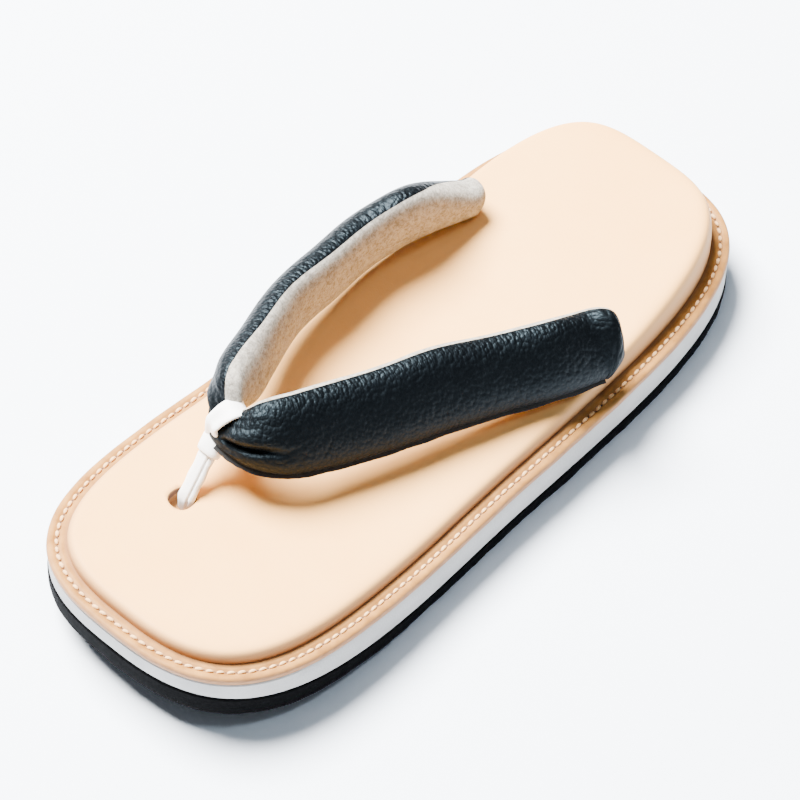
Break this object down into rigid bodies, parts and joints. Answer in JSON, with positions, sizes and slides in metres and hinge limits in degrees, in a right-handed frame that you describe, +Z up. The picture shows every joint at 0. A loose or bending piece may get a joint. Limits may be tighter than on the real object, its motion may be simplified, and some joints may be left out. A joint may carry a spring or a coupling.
{
  "type": "zori sandal",
  "caption": "Flat leather sandal with a padded leather strap in two arms, a toe thong and a layered sole; it stands empty on its sole.",
  "frame": {"origin": "on the floor, under the middle of the sole", "axes": "+Z up; -Y towards the toe, +Y towards the heel; +X is the outer side of the foot, -X the inner side"},
  "size_m": [0.1042, 0.265, 0.0565],
  "materials": {
    "outsole": "matt black rubber with a rough trimmed edge",
    "midsole": "matt pale grey-white foam, finely grained",
    "welt": "natural tan leather with a stitched groove",
    "footbed": "smooth natural leather, soft sheen",
    "strap_cover": "black pebbled leather, soft sheen",
    "strap_lining": "taupe suede",
    "toe_thong": "smooth white leather",
    "thong_collar": "smooth white leather"
  },
  "bodies": {
    "root": {"outsole": "outsole", "midsole": "midsole", "welt": "welt", "footbed": "footbed", "strap_cover": "strap_cover", "strap_lining": "strap_lining", "toe_thong": "toe_thong", "thong_collar": "thong_collar"}
  },
  "joints": []
}
